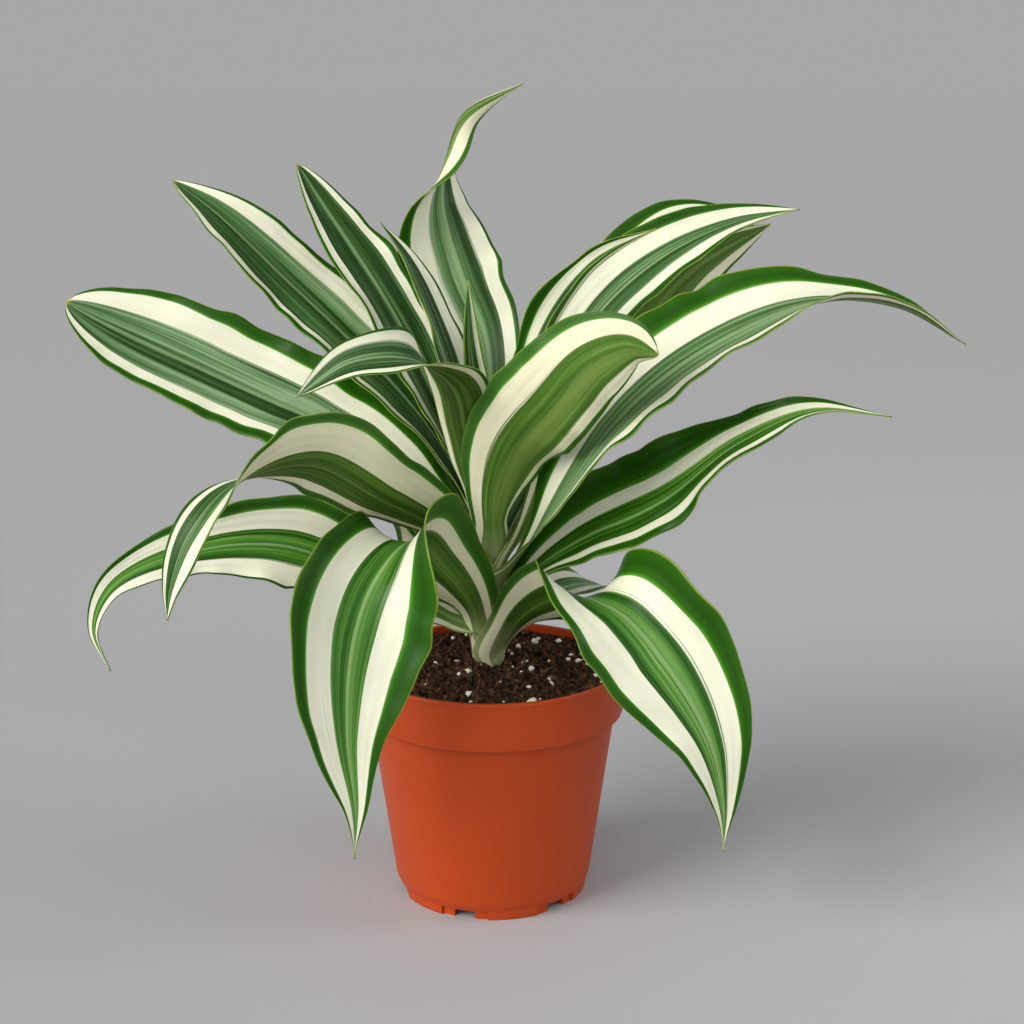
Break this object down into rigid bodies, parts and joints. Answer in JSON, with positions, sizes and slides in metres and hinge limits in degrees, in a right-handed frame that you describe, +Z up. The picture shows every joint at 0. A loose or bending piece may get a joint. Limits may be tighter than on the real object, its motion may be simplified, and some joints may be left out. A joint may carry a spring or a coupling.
{
  "type": "potted dracaena",
  "caption": "Potted house plant: arching cream-striped strap leaves on a short stem, in a tapered plastic nursery pot filled with potting soil.",
  "frame": {"origin": "centre of the pot's foot, on the surface that the pot stands on", "axes": "+Z up along the pot's axis, +X to the plant's right as seen from the front, -Y towards the viewer"},
  "size_m": [0.4344, 0.2027, 0.3916],
  "materials": {
    "pot_plastic": "terracotta-coloured polypropylene with a satin moulded surface",
    "potting_soil": "moist dark potting mix of peat, bark crumbs and fibres with white perlite grains",
    "stem": "light green young stem with fine leaf scars, satin",
    "leaf": "glossy upper face with deep green margins, cream bands and a mottled green centre; olive and cream underside, satin"
  },
  "bodies": {
    "root": {"pot": "pot_plastic", "soil": "potting_soil", "stem": "stem", "leaf_low_front_left": "leaf", "leaf_low_front_right": "leaf", "leaf_low_left": "leaf", "leaf_low_right": "leaf", "leaf_left_arching": "leaf", "leaf_right_long": "leaf", "leaf_left_broad": "leaf", "leaf_right_back": "leaf", "leaf_centre_recurved": "leaf", "leaf_left_upper": "leaf", "leaf_right_upper": "leaf", "leaf_back_right_arching": "leaf", "leaf_small_recurved": "leaf", "leaf_left_steep": "leaf", "leaf_inner_left": "leaf", "leaf_top": "leaf", "leaf_inner_right": "leaf", "leaf_spear": "leaf", "leaf_back_low": "leaf", "leaf_back_low_left": "leaf", "leaf_back_low_right": "leaf", "leaf_back_middle": "leaf", "leaf_back_middle_left": "leaf", "leaf_back_middle_right": "leaf"}
  },
  "joints": []
}
